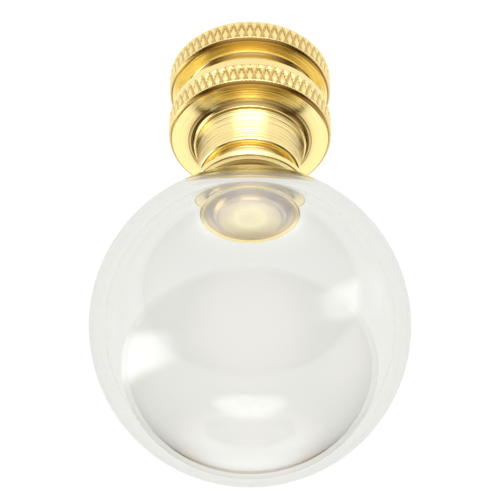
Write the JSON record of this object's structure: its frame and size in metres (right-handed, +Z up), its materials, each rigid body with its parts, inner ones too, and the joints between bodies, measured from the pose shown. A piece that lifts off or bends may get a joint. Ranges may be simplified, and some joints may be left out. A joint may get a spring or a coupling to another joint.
{
  "type": "lamp shade finial",
  "caption": "Clear glass ball finial on a turned brass base with knurled grips and a threaded bore, which holds a lamp shade on its harp.",
  "frame": {"origin": "middle of the base's flat underside", "axes": "+Z up the axis of the finial, from the underside towards the ball"},
  "size_m": [0.03, 0.03, 0.0479],
  "materials": {
    "clear_glass": "clear, polished",
    "polished_brass": "polished, with fine turning lines"
  },
  "bodies": {
    "root": {"ball": "clear_glass", "base": "polished_brass"}
  },
  "joints": []
}
